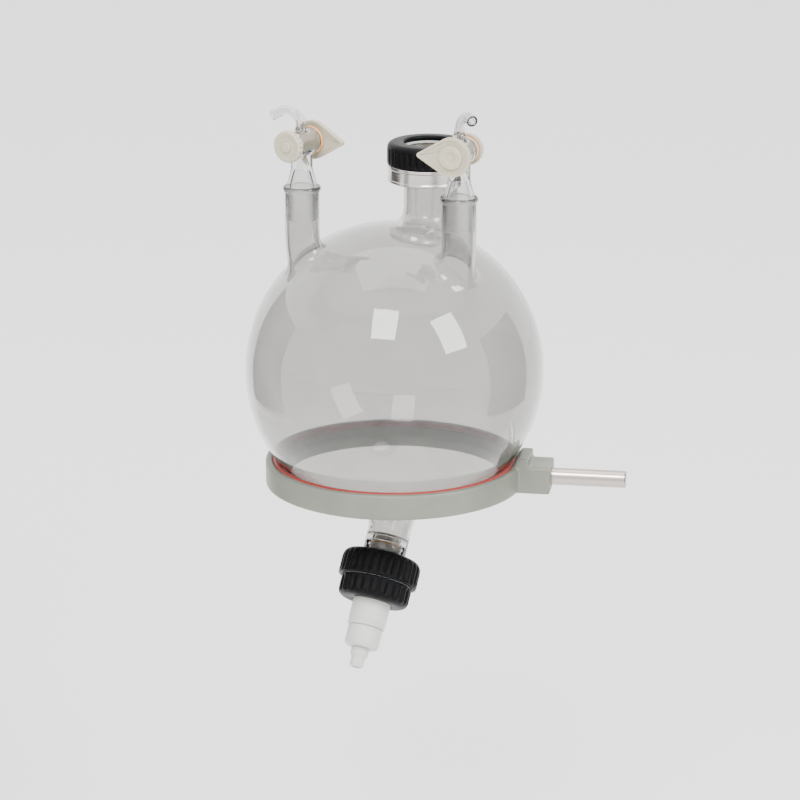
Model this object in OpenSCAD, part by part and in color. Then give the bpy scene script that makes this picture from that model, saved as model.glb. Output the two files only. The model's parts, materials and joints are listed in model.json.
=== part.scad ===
// Globe-shaped separatory funnel in its support ring.
// Millimetres. +Z is up. The origin is on the support rod's axis, midway along its exposed length,
// and the rod runs out along +X.

/* [Globe] */
// Outside diameter of the glass globe
globe_d = 280; // [270:1:290]
// Thickness of the glass wall
glass_wall = 3; // [2.5:0.5:4]

/* [Support ring] */
// Outside diameter of the ring
ring_d = 244; // [242:1:250]
// Height of the ring's side
ring_h = 24; // [20:1:28]
// Diameter of the hole through the ring
ring_bore_d = 208; // [204:1:210]
// Diameter of the circle where the globe rests on the gasket
seat_d = 220; // [218:1:222]
// Diameter of the gasket cord
gasket_cord_d = 6; // [5:0.5:7]
// Diameter of the support rod
rod_d = 16; // [12:1:18]
// Length of rod that stands out of the boss
rod_exposed = 70; // [50:5:120]
// Width of the boss
boss_w = 39; // [34:1:44]
// Distance from the ring's centre to the end of the boss
boss_reach = 150; // [140:1:160]

/* [Feed neck] */
// Distance of the feed neck from the globe's axis
feed_offset = 62; // [56:1:66]
// Compass angle of the feed neck, counted from the rod
feed_az = 67; // [60:1:75]
// Outside diameter of the feed neck
feed_neck_d = 48; // [44:1:50]
// Outside diameter of the steel collar
feed_collar_d = 79; // [76:1:80]
// Outside diameter of the black nut
feed_nut_d = 80; // [79:1:84]

/* [Side arms] */
// Distance of each side arm from the globe's axis
arm_offset = 87; // [84:1:90]
// Compass angle of the left arm
left_arm_az = 201.5; // [195:0.5:210]
// Compass angle of the right arm
right_arm_az = 321.5; // [315:0.5:325]
// Outside diameter of a side arm
arm_d = 32; // [32:0.5:34]
// Height of the socket's rim above the globe's centre
arm_rim_z = 181; // [175:1:185]

/* [Stopcocks] */
// Height of the plug's axis above the socket's rim
barrel_rise = 40; // [38:1:44]
// Compass angle that the left plug's handle points to
left_handle_az = 65; // [50:1:80]
// Compass angle that the right plug's handle points to
right_handle_az = 256; // [250:1:262]
// Compass angle of the left hose outlet
left_outlet_az = 172; // [160:1:190]
// Compass angle of the right hose outlet
right_outlet_az = 300; // [298:1:310]
// Reach of the thumb plate's point from the plug's axis
thumb_reach = 33; // [30:1:34]
// Outside diameter of the hose outlet
hose_d = 10; // [9:0.5:11]

/* [Drain valve] */
// Angle between the drain neck and the vertical
drain_tilt = 33; // [30:0.5:38]
// Compass angle that the drain neck leans to
drain_az = 253.5; // [240:0.5:260]
// Outside diameter of the glass drain neck
drain_neck_d = 41; // [40:0.5:42]
// Outside diameter of the union nut over its ribs
union_nut_d = 76; // [74:1:78]
// Outside diameter of the handwheel over its ribs
handwheel_d = 68; // [66:1:70]
// Outside diameter of the spindle's thread
spindle_d = 36; // [35:0.5:37]
// Outside diameter of the outlet adapter
adapter_d = 33; // [32:0.5:34]
// Outside diameter of the hose nozzle's end
nozzle_d = 13; // [12:0.5:14]

/* [Hidden] */
$fn = 96;

// Gaps: between bodies that part, between a shaft and its hole, and between pieces that only meet
gap = 0.3;
running = 0.06;

// Globe and ring
globe_r = globe_d / 2;
globe_inner_r = globe_r - glass_wall;
seat_drop = sqrt(globe_r * globe_r - seat_d * seat_d / 4);
cord_path_r = (globe_r + gap + gasket_cord_d / 2) * seat_d / globe_d;
cord_path_z = -(globe_r + gap + gasket_cord_d / 2) * seat_drop / globe_r;
ring_top_z = -round(seat_drop) + 1;
ring_bottom_z = ring_top_z - ring_h;
ring_clear_r = globe_r + gasket_cord_d / 2 + 0.2;
rod_z = (ring_top_z + ring_bottom_z) / 2;
rod_socket_start = ring_d / 2 - 4;
rod_end = boss_reach + rod_exposed;
rod_spigot_r = rod_d / 2 - 0.5;
globe_centre = [-(boss_reach + rod_exposed / 2), 0, -rod_z];
boss_h = ring_h + 2;
lug_w = 14;
lug_rise = 9;
set_screw_d = 6;
set_screw_len = 10;
set_screw_x = [boss_reach - 18, boss_reach - 8];

// Feed neck, heights above the globe's centre
flange_r = 31;
flange_h = 6;
flange_z = 186;
flange_top_z = flange_z + flange_h;
collar_z = 170;
collar_ledge_z = 178;
collar_bore_r = flange_r + 0.5;
liner_r = 34;
collar_grip_h = 16;
thread_pitch = 4;
thread_r = 36.6;
thread_root_r = 35.7;
thread_turns = 3;
feed_nut_z = collar_z + collar_grip_h + gap;
collar_top_z = feed_nut_z + thread_turns * thread_pitch - gap;
feed_nut_h = 21;
roof_h = 4.5;
roof_z = feed_nut_z + feed_nut_h - roof_h;
washer_h = 2;
gasket_h = 2.5;
feed_mouth_r = 24;
nut_ribs = 36;

// Side arms and stopcocks, heights above the globe's centre
joint_len = 32;
joint_top_r = 14.6;
joint_taper = 1 / 20;
joint_low_r = joint_top_r - joint_len * joint_taper;
socket_z = arm_rim_z - joint_len;
barrel_z = arm_rim_z + barrel_rise;
barrel_half = 14;
barrel_r = 12.5;
plug_big_r = 9;
plug_small_r = 8;
stem_r = 10;
port_r = 3;
left_bend = [14, 236, 25];
right_bend = [19, 239, 10];
outlet_end_len = 9;
thumb_r = 18;
thumb_tip_r = 2.5;
thumb_h = 5;
hub_r = 11;
seal_h = 2;
shank_r = 5;
retaining_r = 15;
retaining_h = 6.5;

// Drain valve, distances along the drain's axis from the globe's lowest point
nut_start = 45.5;
nut_lip = 3;
drain_flange_r = 27;
drain_flange_start = 51;
drain_flange_h = 6;
seat_start = 29;
seat_h = 4;
seat_bore_r = 12.5;
valve_start = 59.4;
wheel_start = 71.4;
nut_end = wheel_start - 0.4;
wheel_end = 91.5;
wheel_roof = 84;
body_boss_end = 83;
body_boss_r = 22;
boss_flange_r = 24;
boss_flange_start = 78.8;
gland_end = 73;
shoulder_start = gland_end + gap;
stem_drain_r = 12;
tip_r = 15;
tip_end = 41;
nose_r = 11.5;
nose_start = 27;
tip_seal_h = 1.9;
tip_seal_start = seat_start + seat_h + gap;
drain_bore_r = 5.5;
drain_port_start = 45;
spindle_end = 116;
adapter_end = 136;
spigot_len = 12;
nozzle_step = 146;
nozzle_end = 155;
nozzle_root_r = 8.5;
nozzle_bore_r = 4;
union_thread_r = 33;
union_ribs = 30;
wheel_ribs = 24;

glass = [0.72, 0.75, 0.74, 0.45];
paint = [0.60, 0.62, 0.57];
silicone_red = [0.62, 0.18, 0.15];
steel = [0.72, 0.71, 0.69];
black_plastic = [0.06, 0.06, 0.065];
ptfe = [0.86, 0.86, 0.84];
cream = [0.80, 0.78, 0.70];
orange = [0.83, 0.55, 0.28];

function compass(angle, reach) = [reach * cos(angle), reach * sin(angle), 0];

module at_globe() translate(globe_centre) children();

module at_feed() at_globe() translate(compass(feed_az, feed_offset)) children();

module at_arm(arm_az) at_globe() translate(compass(arm_az, arm_offset)) children();

// The plug's frame: +Z runs out of the handle end, -X is up
module at_plug(arm_az, handle_az) at_arm(arm_az) translate([0, 0, barrel_z])
    rotate([0, 90, handle_az]) children();

// The drain's frame: +Z runs down along the drain neck from the globe's lowest point
module at_drain() at_globe() translate([0, 0, -globe_r])
    rotate([0, 180 - drain_tilt, drain_az]) children();

module tube(outer_r, inner_r, start, end) {
    translate([0, 0, start]) difference() {
        cylinder(r = outer_r, h = end - start);
        translate([0, 0, -1]) cylinder(r = inner_r, h = end - start + 2);
    }
}

module bore(r, start, end) translate([0, 0, start]) cylinder(r = r, h = end - start);

module cone(start_r, end_r, start, end) translate([0, 0, start])
    cylinder(r1 = start_r, r2 = end_r, h = end - start);

// A solid turned about +Z from a list of [radius, height], lowest first
module turned(profile) {
    last = len(profile) - 1;
    rotate_extrude() polygon(concat([[0, profile[0][1]]], profile, [[0, profile[last][1]]]));
}

module cord_ring(path_r, cord_r) rotate_extrude() translate([path_r, 0]) circle(r = cord_r, $fn = 32);

// A grip with scalloped flutes cut into its side
module fluted(grip_r, start, end, flutes, flute_r) {
    difference() {
        bore(grip_r, start, end);
        for (i = [0 : flutes - 1]) rotate([0, 0, i * 360 / flutes])
            translate([grip_r + flute_r * 0.55, 0, start - 1]) cylinder(r = flute_r, h = end - start + 2, $fn = 24);
    }
}

// Two half rings with a saw cut between them
module split_ring(outer_r, inner_r, start, end) {
    difference() {
        tube(outer_r, inner_r, start, end);
        translate([-outer_r - 1, -0.5, start - 1]) cube([2 * outer_r + 2, 1, end - start + 2]);
    }
}

// A round end and a point, joined by their two tangents
module teardrop(big_r, tip_r, reach) {
    distance = reach - tip_r;
    a = acos((big_r - tip_r) / distance);
    steps = 28;
    big_arc = [for (i = [0 : steps]) let (t = a + i * (360 - 2 * a) / steps) [big_r * cos(t), big_r * sin(t)]];
    tip_arc = [for (i = [0 : 6]) let (t = -a + i * a / 3) [distance + tip_r * cos(t), tip_r * sin(t)]];
    polygon(concat(big_arc, tip_arc));
}

// Support

module support_ring() {
    color(paint) at_globe() difference() {
        union() {
            bore(ring_d / 2, ring_bottom_z, ring_top_z);
            translate([ring_bore_d / 2, -boss_w / 2, rod_z - boss_h / 2])
                cube([boss_reach - ring_bore_d / 2, boss_w, boss_h]);
            translate([ring_d / 2 - 6, -boss_w / 2, ring_top_z - 2]) cube([lug_w, boss_w, lug_rise + 2]);
        }
        bore(ring_bore_d / 2, ring_bottom_z - 1, ring_top_z + lug_rise + 1);
        sphere(r = ring_clear_r);
        translate([0, 0, cord_path_z]) cord_ring(cord_path_r, gasket_cord_d / 2);
        translate([rod_socket_start, 0, rod_z]) rotate([0, 90, 0]) cylinder(r = rod_spigot_r, h = 60);
        for (x = set_screw_x) translate([x, 0, rod_z - boss_h / 2 - 1])
            cylinder(r = set_screw_d / 2, h = boss_h / 2, $fn = 32);
    }
}

module ring_gasket() color(silicone_red) at_globe() translate([0, 0, cord_path_z])
    cord_ring(cord_path_r, gasket_cord_d / 2);

module support_rod() {
    color(steel) at_globe() translate([0, 0, rod_z]) rotate([0, 90, 0])
        turned([[rod_spigot_r, rod_socket_start], [rod_spigot_r, boss_reach], [rod_d / 2, boss_reach],
                [rod_d / 2, rod_end - 1], [rod_d / 2 - 1, rod_end]]);
}

module rod_set_screws() {
    screw_top = rod_z - rod_spigot_r;
    color(steel) at_globe() for (x = set_screw_x) translate([x, 0, screw_top - set_screw_len]) difference() {
        cylinder(r = set_screw_d / 2, h = set_screw_len, $fn = 32);
        translate([0, 0, -1]) cylinder(r = 1.7, h = 4, $fn = 6);
    }
}

// Flask

// The globe's poles and seam lie on its waist, away from every neck
module globe(r) rotate([0, 90, 0]) rotate([0, 0, 90]) sphere(r = r);

module side_arm_outside() {
    turned([[arm_d / 2 + 10, 80], [arm_d / 2, 128], [arm_d / 2, arm_rim_z - 6],
            [arm_d / 2 + 1.5, arm_rim_z - 4], [arm_d / 2 + 1.5, arm_rim_z]]);
}

module side_arm_inside() {
    turned([[joint_low_r, 80], [joint_low_r, socket_z], [joint_top_r, arm_rim_z], [joint_top_r, arm_rim_z + 1]]);
}

module glass_flask() {
    neck_r = drain_neck_d / 2;
    chamber_r = neck_r - glass_wall;
    color(glass) difference() {
        union() {
            at_globe() globe(globe_r);
            at_feed() turned([[feed_neck_d / 2 + 11, 94], [feed_neck_d / 2, 142], [feed_neck_d / 2, flange_z],
                              [flange_r, flange_z], [flange_r, flange_top_z]]);
            for (az = [left_arm_az, right_arm_az]) at_arm(az) side_arm_outside();
            at_drain() turned([[neck_r + 12, -14], [neck_r, 26], [neck_r, drain_flange_start],
                               [drain_flange_r, drain_flange_start],
                               [drain_flange_r, drain_flange_start + drain_flange_h]]);
        }
        at_globe() globe(globe_inner_r);
        at_feed() bore(feed_neck_d / 2 - glass_wall, 90, flange_top_z + 1);
        for (az = [left_arm_az, right_arm_az]) at_arm(az) side_arm_inside();
        at_drain() turned([[chamber_r, -30], [chamber_r, seat_start], [seat_bore_r, seat_start],
                           [seat_bore_r, seat_start + seat_h], [chamber_r, seat_start + seat_h],
                           [chamber_r, drain_flange_start + drain_flange_h + 1]]);
    }
}

module feed_collar() {
    color(steel) at_feed() difference() {
        union() {
            bore(thread_root_r, collar_z, collar_top_z);
            bore(feed_collar_d / 2, collar_z, collar_z + collar_grip_h);
            for (i = [0 : thread_turns - 1])
                bore(thread_r, feed_nut_z + 1 + i * thread_pitch, feed_nut_z + 3 + i * thread_pitch);
        }
        bore(collar_bore_r, collar_z - 1, collar_top_z + 1);
        bore(liner_r, collar_ledge_z, collar_top_z + 1);
    }
}

module collar_split_liner() color(ptfe) at_feed() rotate([0, 0, 40])
    split_ring(liner_r, feed_neck_d / 2, collar_ledge_z, flange_z);

module feed_gasket() color(ptfe) at_feed()
    tube(flange_r, feed_neck_d / 2 - glass_wall + 1, flange_top_z, flange_top_z + gasket_h);

module feed_nut() {
    color(black_plastic) at_feed() difference() {
        union() {
            fluted(feed_nut_d / 2, feed_nut_z, feed_nut_z + feed_nut_h - 6, nut_ribs, 2.2);
            cone(feed_nut_d / 2 - 0.8, feed_nut_d / 2 - 3.8, feed_nut_z + feed_nut_h - 6, feed_nut_z + feed_nut_h);
        }
        bore(thread_r + gap, feed_nut_z - 1, roof_z);
        bore(feed_mouth_r, roof_z - 1, roof_z + roof_h + 1);
    }
}

module feed_thrust_washer() color(ptfe) at_feed()
    tube(flange_r, feed_mouth_r + 0.5, roof_z - washer_h - gap, roof_z - gap);

// Stopcocks

// The bent stretch of a hose outlet and its straight end. A bend is its radius, the height where it
// starts and the angle that its end droops by.
module outlet_bend(bend, bend_tube_r, end_tube_r, end_len) translate([bend[0], 0, bend[1]]) {
    rotate([90, 0, 0]) rotate([0, 0, 90 - bend[2]])
        rotate_extrude(angle = 90 + bend[2]) translate([bend[0], 0]) circle(r = bend_tube_r, $fn = 32);
    rotate([0, 90 + bend[2], 0]) translate([-bend[0], 0, 0]) cylinder(r = end_tube_r, h = end_len);
}

module stopcock_body(arm_az, handle_az, outlet_az, bend) {
    joint_bore_r = joint_low_r - 2.6;
    color(glass) difference() {
        union() {
            at_arm(arm_az) turned([[joint_low_r - gap, socket_z], [joint_top_r - gap, arm_rim_z],
                [stem_r, arm_rim_z + 16], [stem_r, barrel_z], [hose_d / 2 + 0.5, bend[1]]]);
            at_arm(arm_az) rotate([0, 0, outlet_az]) outlet_bend(bend, hose_d / 2, hose_d / 2 + 0.3, outlet_end_len);
            at_plug(arm_az, handle_az) bore(barrel_r, -barrel_half, barrel_half);
        }
        at_arm(arm_az) turned([[joint_bore_r, socket_z - 1], [joint_bore_r, arm_rim_z],
            [port_r, barrel_z - barrel_r], [port_r, bend[1] + 0.5]]);
        at_arm(arm_az) rotate([0, 0, outlet_az]) outlet_bend(bend, port_r + 0.2, port_r + 0.4, outlet_end_len + 1);
        at_plug(arm_az, handle_az) turned([[plug_small_r - 0.04, -barrel_half - 1],
            [plug_big_r + 0.04, barrel_half + 1]]);
    }
}

module plug(arm_az, handle_az) {
    seat_end = barrel_half + gap + seal_h;
    color(cream) at_plug(arm_az, handle_az) difference() {
        union() {
            turned([[shank_r, -barrel_half - 12], [shank_r, -barrel_half],
                    [plug_small_r - running, -barrel_half], [plug_big_r - running, barrel_half],
                    [plug_big_r - running, seat_end + thumb_h], [hub_r, seat_end + thumb_h],
                    [hub_r, seat_end + thumb_h + 2]]);
            translate([0, 0, seat_end]) rotate([0, 0, -90]) linear_extrude(thumb_h)
                teardrop(thumb_r, thumb_tip_r, thumb_reach);
        }
        rotate([90, 0, 0]) translate([0, 0, -20]) cylinder(r = port_r, h = 40, $fn = 32);
    }
}

module plug_seal(arm_az, handle_az) color(orange) at_plug(arm_az, handle_az)
    tube(barrel_r + 2.5, plug_big_r, barrel_half + gap, barrel_half + gap + seal_h);

module plug_washer(arm_az, handle_az) color(ptfe) at_plug(arm_az, handle_az)
    tube(barrel_r - 0.5, shank_r, -barrel_half - gap - 1.2, -barrel_half - gap);

module plug_o_ring(arm_az, handle_az) color(orange) at_plug(arm_az, handle_az)
    tube(barrel_r + 1.5, shank_r, -barrel_half - gap - 3.4, -barrel_half - gap - 1.2);

module retaining_nut(arm_az, handle_az) {
    start = -barrel_half - gap - 3.4 - retaining_h;
    color(cream) at_plug(arm_az, handle_az) difference() {
        union() {
            fluted(retaining_r, start + 1.5, start + retaining_h, 20, 1.6);
            cone(retaining_r - 2, retaining_r - 0.5, start, start + 1.5);
        }
        bore(shank_r, start - 1, start + retaining_h + 1);
    }
}

// Drain valve

module drain_split_liner() color(ptfe) at_drain() rotate([0, 0, 30])
    split_ring(union_thread_r - 0.5, drain_neck_d / 2, nut_start + nut_lip, drain_flange_start);

module drain_union_nut() {
    color(black_plastic) at_drain() difference() {
        union() {
            cone(union_nut_d / 2 - 4, union_nut_d / 2 - 1, nut_start, nut_start + 3);
            fluted(union_nut_d / 2, nut_start + 3, nut_end, union_ribs, 2.6);
        }
        bore(drain_flange_r + 0.6, nut_start - 1, nut_start + nut_lip);
        bore(union_thread_r, nut_start + nut_lip - 0.01, nut_end + 1);
    }
}

module drain_gasket() color(ptfe) at_drain() tube(drain_flange_r, drain_neck_d / 2 - glass_wall + 1,
    drain_flange_start + drain_flange_h + gap, valve_start);

module drain_valve_body() {
    color(ptfe) at_drain() difference() {
        union() {
            bore(union_thread_r - gap, valve_start, nut_end);
            bore(body_boss_r, nut_end - 1, body_boss_end);
            bore(boss_flange_r, boss_flange_start, body_boss_end);
        }
        bore(stem_drain_r + running, valve_start - 1, gland_end + 1);
        bore(spindle_d / 2 + gap, gland_end, body_boss_end + 1);
        bore(stem_drain_r + 2, valve_start + 1.6, valve_start + 3.8);
        translate([0, -1.5 - running, valve_start + 5.5]) cube([stem_drain_r + 1.8, 3 + 2 * running, 30]);
    }
}

module gland_seals() color(black_plastic) at_drain()
    tube(stem_drain_r + 2, stem_drain_r + running, valve_start + 1.6, valve_start + 3.8);

module drain_handwheel() {
    color(black_plastic) at_drain() difference() {
        union() {
            fluted(handwheel_d / 2, wheel_start, wheel_end - 3, wheel_ribs, 2.8);
            cone(handwheel_d / 2 - 1.2, handwheel_d / 2 - 5, wheel_end - 3, wheel_end);
        }
        bore(boss_flange_r + gap, wheel_start - 1, wheel_roof);
        bore(boss_flange_r + 2, boss_flange_start - 1.6, boss_flange_start - 0.4);
        bore(spindle_d / 2 + running, wheel_roof - 1, wheel_end + 1);
    }
}

module handwheel_circlip() {
    color(steel) at_drain() difference() {
        tube(boss_flange_r + 2, body_boss_r + gap, boss_flange_start - 1.6, boss_flange_start - 0.4);
        translate([0, -4, boss_flange_start - 3]) cube([boss_flange_r + 4, 8, 5]);
    }
}

module drain_spindle() {
    color(ptfe) at_drain() difference() {
        union() {
            cone(nose_r - 2, nose_r, nose_start, nose_start + 2);
            bore(nose_r, nose_start + 2, tip_end);
            bore(tip_r, tip_seal_start + tip_seal_h, tip_end);
            bore(stem_drain_r, tip_end, shoulder_start);
            bore(spindle_d / 2, shoulder_start, spindle_end - 1);
            cone(spindle_d / 2, spindle_d / 2 - 1, spindle_end - 1, spindle_end);
        }
        bore(drain_bore_r, drain_port_start - 3, spindle_end - spigot_len);
        bore(adapter_d / 2 - 6, spindle_end - spigot_len - 0.01, spindle_end + 1);
        for (a = [45, 135]) translate([0, 0, drain_port_start]) rotate([90, 0, a])
            translate([0, 0, -20]) cylinder(r = 2.5, h = 40, $fn = 32);
        translate([stem_drain_r - 2, -1.5, valve_start + 5.7]) cube([4, 3, 7]);
    }
}

module spindle_tip_seal() color(orange) at_drain()
    tube(tip_r, nose_r, tip_seal_start, tip_seal_start + tip_seal_h);

module spindle_key() color(steel) at_drain()
    translate([stem_drain_r - 2, -1.5, valve_start + 5.7]) cube([3.4, 3, 7]);

module outlet_adapter() {
    color(ptfe) at_drain() difference() {
        union() {
            bore(adapter_d / 2 - 6, spindle_end - spigot_len, spindle_end + 1);
            cone(adapter_d / 2 - 1, adapter_d / 2, spindle_end, spindle_end + 1);
            bore(adapter_d / 2, spindle_end + 1, adapter_end - 3);
            cone(adapter_d / 2, adapter_d / 2 - 3, adapter_end - 3, adapter_end);
        }
        bore(drain_bore_r, spindle_end - spigot_len - 1, adapter_end - 10);
        bore(nozzle_root_r - 1, adapter_end - 10.01, adapter_end + 1);
        tube(adapter_d / 2, adapter_d / 2 - 7.6, spindle_end - 4, spindle_end - 1.8);
    }
}

module adapter_o_ring() color(black_plastic) at_drain()
    tube(adapter_d / 2 - 6, adapter_d / 2 - 7.6, spindle_end - 4, spindle_end - 1.8);

module hose_nozzle() {
    color(ptfe) at_drain() difference() {
        union() {
            bore(nozzle_root_r - 1, adapter_end - 10, adapter_end);
            bore(nozzle_root_r, adapter_end, nozzle_step - 3);
            cone(nozzle_root_r, nozzle_d / 2, nozzle_step - 3, nozzle_step);
            bore(nozzle_d / 2, nozzle_step, nozzle_end);
        }
        bore(nozzle_bore_r, adapter_end - 11, nozzle_end + 1);
    }
}

support_ring();
ring_gasket();
support_rod();
rod_set_screws();
glass_flask();
feed_collar();
collar_split_liner();
feed_gasket();
feed_nut();
feed_thrust_washer();
stopcock_body(left_arm_az, left_handle_az, left_outlet_az, left_bend);  // left_stopcock_body
plug(left_arm_az, left_handle_az);  // left_plug
plug_seal(left_arm_az, left_handle_az);  // left_plug_seal
plug_washer(left_arm_az, left_handle_az);  // left_plug_washer
plug_o_ring(left_arm_az, left_handle_az);  // left_plug_o_ring
retaining_nut(left_arm_az, left_handle_az);  // left_retaining_nut
stopcock_body(right_arm_az, right_handle_az, right_outlet_az, right_bend);  // right_stopcock_body
plug(right_arm_az, right_handle_az);  // right_plug
plug_seal(right_arm_az, right_handle_az);  // right_plug_seal
plug_washer(right_arm_az, right_handle_az);  // right_plug_washer
plug_o_ring(right_arm_az, right_handle_az);  // right_plug_o_ring
retaining_nut(right_arm_az, right_handle_az);  // right_retaining_nut
drain_split_liner();
drain_union_nut();
drain_gasket();
drain_valve_body();
gland_seals();
drain_handwheel();
handwheel_circlip();
drain_spindle();
spindle_tip_seal();
spindle_key();
outlet_adapter();
adapter_o_ring();
hose_nozzle();
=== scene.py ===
# %% [markdown]
# # A globe-shaped separatory funnel
# A big glass globe rests on a red gasket in a painted cast ring. Liquid comes in by the feed neck
# at the top, air by the two stopcocks, and the screw valve at the bottom lets the lower layer
# out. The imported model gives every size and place. It is loaded first and never moved: new, finer
# pieces are built on the same axes, and the pieces hidden inside keep their shape and get a
# better finish.

# %% Load the frame
import json
from math import acos, atan2, cos, pi, radians, sin, sqrt

import bmesh
import bpy
from mathutils import Matrix, Vector


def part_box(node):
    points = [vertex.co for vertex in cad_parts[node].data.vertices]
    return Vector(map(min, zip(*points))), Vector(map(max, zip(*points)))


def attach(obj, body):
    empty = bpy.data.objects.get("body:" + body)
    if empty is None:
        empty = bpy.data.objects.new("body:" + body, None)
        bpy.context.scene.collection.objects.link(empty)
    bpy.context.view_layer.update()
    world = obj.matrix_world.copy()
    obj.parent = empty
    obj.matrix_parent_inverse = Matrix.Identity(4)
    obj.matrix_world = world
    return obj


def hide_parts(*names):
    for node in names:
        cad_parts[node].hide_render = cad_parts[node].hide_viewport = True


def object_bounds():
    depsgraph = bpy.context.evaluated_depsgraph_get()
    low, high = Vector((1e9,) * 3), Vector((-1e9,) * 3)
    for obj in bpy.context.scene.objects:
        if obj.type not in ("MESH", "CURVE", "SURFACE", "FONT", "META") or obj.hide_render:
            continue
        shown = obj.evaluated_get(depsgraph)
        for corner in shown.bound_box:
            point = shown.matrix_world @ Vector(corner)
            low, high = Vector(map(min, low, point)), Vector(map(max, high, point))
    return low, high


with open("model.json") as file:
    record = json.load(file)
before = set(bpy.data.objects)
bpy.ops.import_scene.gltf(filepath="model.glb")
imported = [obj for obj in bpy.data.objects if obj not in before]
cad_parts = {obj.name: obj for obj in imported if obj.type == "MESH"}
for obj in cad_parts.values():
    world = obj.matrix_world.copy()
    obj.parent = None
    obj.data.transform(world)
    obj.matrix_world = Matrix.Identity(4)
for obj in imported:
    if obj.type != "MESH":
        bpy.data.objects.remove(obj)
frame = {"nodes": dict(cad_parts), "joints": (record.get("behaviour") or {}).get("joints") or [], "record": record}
cad_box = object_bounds()
nodes = frame["nodes"]
joints = {j["name"]: j for j in frame["joints"]}

# %% [markdown]
# ## Axes
# Everything round is turned about one of four axes: the globe's own, the feed neck's, a side
# arm's or the drain's. The joints in the record state them, so the places are read there and not
# typed in again. `MM` keeps lengths readable, because Blender works in metres.

# %% Axes read from the frame
MM = 0.001
GLOBE_R = 140 * MM
WALL = 3 * MM
ARM_RIM = 181 * MM   # the sockets' rims stand this far above the globe's centre
UP = Vector((0, 0, 1))


def place(joint):
    return Vector(joints[joint]["pos_m"])


def direction(joint):
    return Vector(joints[joint]["axis"]).normalized()


left_arm = place("left_stopcock_swivel")
right_arm = place("right_stopcock_swivel")
gasket_low, gasket_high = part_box("ring_gasket")
globe = (gasket_low + gasket_high) / 2
globe.z = left_arm.z - ARM_RIM
south = globe - UP * GLOBE_R
drain_way = direction("handwheel_turn")
feed_foot = place("feed_nut_turn")
feed_foot.z = globe.z
print("globe centre, mm:", [round(c / MM, 1) for c in globe])


def frame_on(origin, z_axis, x_hint=Vector((1, 0, 0))):
    """A matrix that sets a shape turned about +Z onto another axis."""
    z = z_axis.normalized()
    y = z.cross(x_hint).normalized()
    x = y.cross(z)
    return Matrix.Translation(origin) @ Matrix((x, y, z)).transposed().to_4x4()


ON_FEED = frame_on(feed_foot, UP)
ON_DRAIN = frame_on(south, drain_way)
ON_GLOBE = frame_on(globe, UP)

# %% [markdown]
# ## Helpers for finishes
# Small effects that several finishes share are node groups: each is built once and gives out a
# mask or a height, and the material decides what to do with it. All of them read Object
# coordinates, so a pattern stays on its piece in every view and in every pose.


# %% Node helpers
def new_group(name, inputs, outputs):
    group = bpy.data.node_groups.new(name, "ShaderNodeTree")
    for label, value in inputs:
        socket = group.interface.new_socket(label, in_out="INPUT", socket_type="NodeSocketFloat")
        socket.default_value = value
    for label in outputs:
        group.interface.new_socket(label, in_out="OUTPUT", socket_type="NodeSocketFloat")
    return group, group.nodes.new("NodeGroupInput"), group.nodes.new("NodeGroupOutput")


def add(tree, kind, **settings):
    """Adds a node: settings are its properties, or its input sockets by name with spaces as _."""
    node = tree.nodes.new(kind)
    for key, value in settings.items():
        if hasattr(node, key):
            setattr(node, key, value)
        else:
            node.inputs[key.replace("_", " ")].default_value = value
    return node


def link(tree, source, target):
    tree.links.new(source, target)


def math_node(tree, operation, first, second):
    node = tree.nodes.new("ShaderNodeMath")
    node.operation = operation
    for socket, value in zip(node.inputs, (first, second)):
        if isinstance(value, (int, float)):
            socket.default_value = value
        else:
            tree.links.new(value, socket)
    return node.outputs[0]


# %% [markdown]
# Three effects are shared: the fine grain of a moulded or cast skin, the smudges that handling
# leaves, and the wear that rubs paint off corners. An image could show each of these, but noise
# has no seams and no fixed size, so one recipe serves a thin washer and a large ring.


# %% Shared effects
def make_grain():
    """Fine moulded or cast skin: a height from two sizes of noise."""
    group, given, out = new_group("fine_grain", [("Scale", 900.0), ("Coarse", 0.35)],
                                  ["Height", "Mottle"])
    where = add(group, "ShaderNodeTexCoord")
    fine = add(group, "ShaderNodeTexNoise", Detail=3.0)
    coarse = add(group, "ShaderNodeTexNoise", Detail=2.0)
    link(group, where.outputs["Object"], fine.inputs["Vector"])
    link(group, where.outputs["Object"], coarse.inputs["Vector"])
    link(group, given.outputs["Scale"], fine.inputs["Scale"])
    link(group, math_node(group, "MULTIPLY", given.outputs["Scale"], 0.12), coarse.inputs["Scale"])
    broad = math_node(group, "MULTIPLY", coarse.outputs["Fac"], given.outputs["Coarse"])
    height = math_node(group, "ADD", fine.outputs["Fac"], broad)
    link(group, height, out.inputs["Height"])
    link(group, coarse.outputs["Fac"], out.inputs["Mottle"])
    return group


def make_smudges():
    """Broad faint marks from handling and wiping: a mask from 0 to 1."""
    group, given, out = new_group("smudges", [("Scale", 14.0), ("Cover", 0.5)], ["Mask"])
    where = add(group, "ShaderNodeTexCoord")
    cloud = add(group, "ShaderNodeTexNoise", Detail=5.0, Distortion=0.6)
    ramp = add(group, "ShaderNodeMapRange", interpolation_type="SMOOTHSTEP")
    link(group, where.outputs["Object"], cloud.inputs["Vector"])
    link(group, given.outputs["Scale"], cloud.inputs["Scale"])
    link(group, cloud.outputs["Fac"], ramp.inputs["Value"])
    link(group, math_node(group, "SUBTRACT", 0.9, given.outputs["Cover"]), ramp.inputs["From Min"])
    link(group, math_node(group, "SUBTRACT", 1.2, given.outputs["Cover"]), ramp.inputs["From Max"])
    link(group, ramp.outputs["Result"], out.inputs["Mask"])
    return group


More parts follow.
